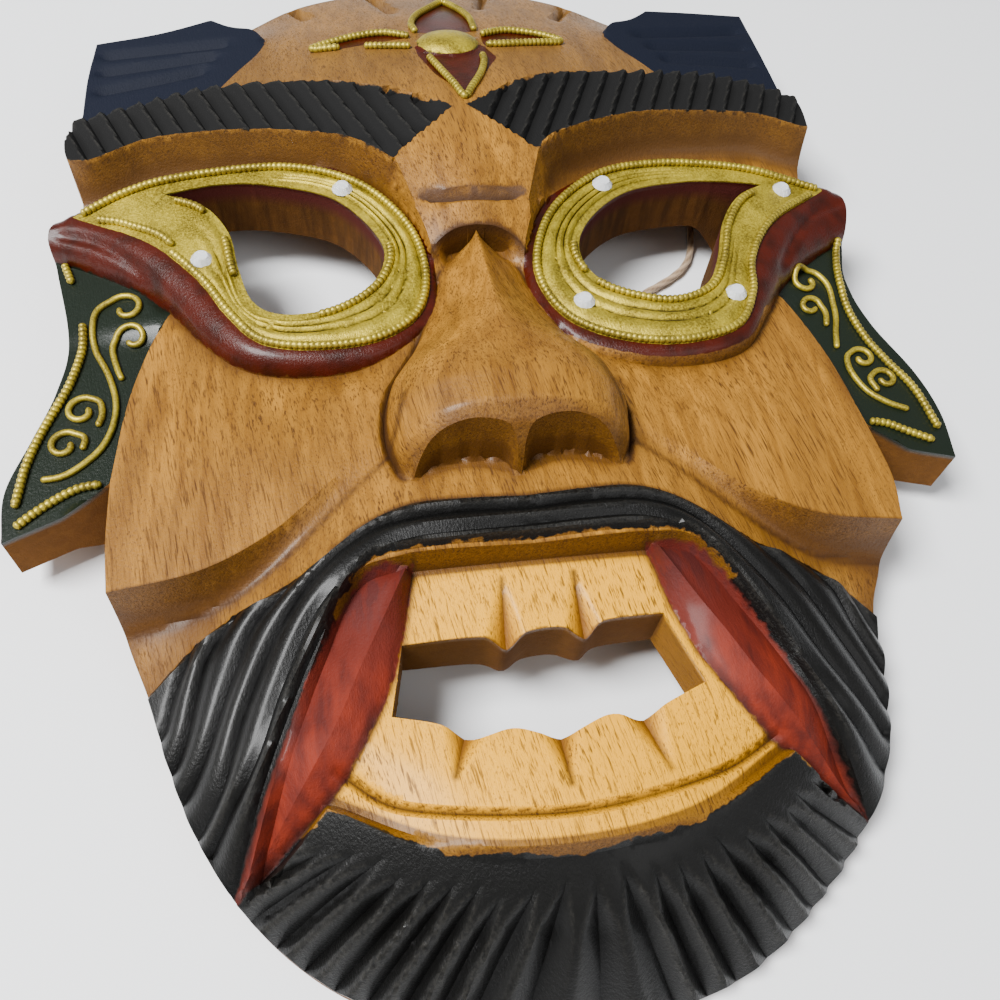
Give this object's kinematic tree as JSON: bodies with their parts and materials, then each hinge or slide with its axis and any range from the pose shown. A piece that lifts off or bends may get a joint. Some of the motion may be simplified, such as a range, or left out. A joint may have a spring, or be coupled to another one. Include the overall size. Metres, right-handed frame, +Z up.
{
  "type": "carved wooden mask",
  "caption": "Painted carved wooden demon mask with open eyes and mouth, gold thread trim, small glass stones and a hanging twine, lying face up.",
  "frame": {"origin": "centre of the bounding box at the table, under the rim of the back", "axes": "+Z up out of the face, +X to the right of whoever looks at the face, +Y towards the crown"},
  "size_m": [0.2021, 0.27, 0.0458],
  "materials": {
    "carved_wood": "waxed wood with black, blue, red and green paint on parts of it",
    "gold_paste": "hardened paste painted old gold",
    "clear_glass": "polished",
    "natural_twine": "twisted natural fibre"
  },
  "bodies": {
    "root": {"mask": "carved_wood", "rope_diadem_bottom": "gold_paste", "rope_diadem_left_low": "gold_paste", "rope_diadem_left_top": "gold_paste", "rope_diadem_right": "gold_paste", "rope_diadem_top": "gold_paste", "rope_ear_left_1": "gold_paste", "rope_ear_left_2": "gold_paste", "rope_ear_left_3": "gold_paste", "rope_ear_right_1": "gold_paste", "rope_ear_right_2": "gold_paste", "rope_inner_left_1": "gold_paste", "rope_inner_left_2": "gold_paste", "rope_inner_left_3": "gold_paste", "rope_inner_right_1": "gold_paste", "rope_inner_right_2": "gold_paste", "rope_outer_left": "gold_paste", "rope_outer_right": "gold_paste", "rope_sweep_left": "gold_paste", "scroll_left_1": "gold_paste", "scroll_left_2": "gold_paste", "scroll_left_3": "gold_paste", "scroll_left_4": "gold_paste", "scroll_right_1": "gold_paste", "scroll_right_2": "gold_paste", "scroll_right_3": "gold_paste", "scroll_right_4": "gold_paste", "stone_left_1": "clear_glass", "stone_left_2": "clear_glass", "stone_right_1": "clear_glass", "stone_right_2": "clear_glass", "stone_right_3": "clear_glass", "stone_right_4": "clear_glass", "twine": "natural_twine"}
  },
  "joints": []
}
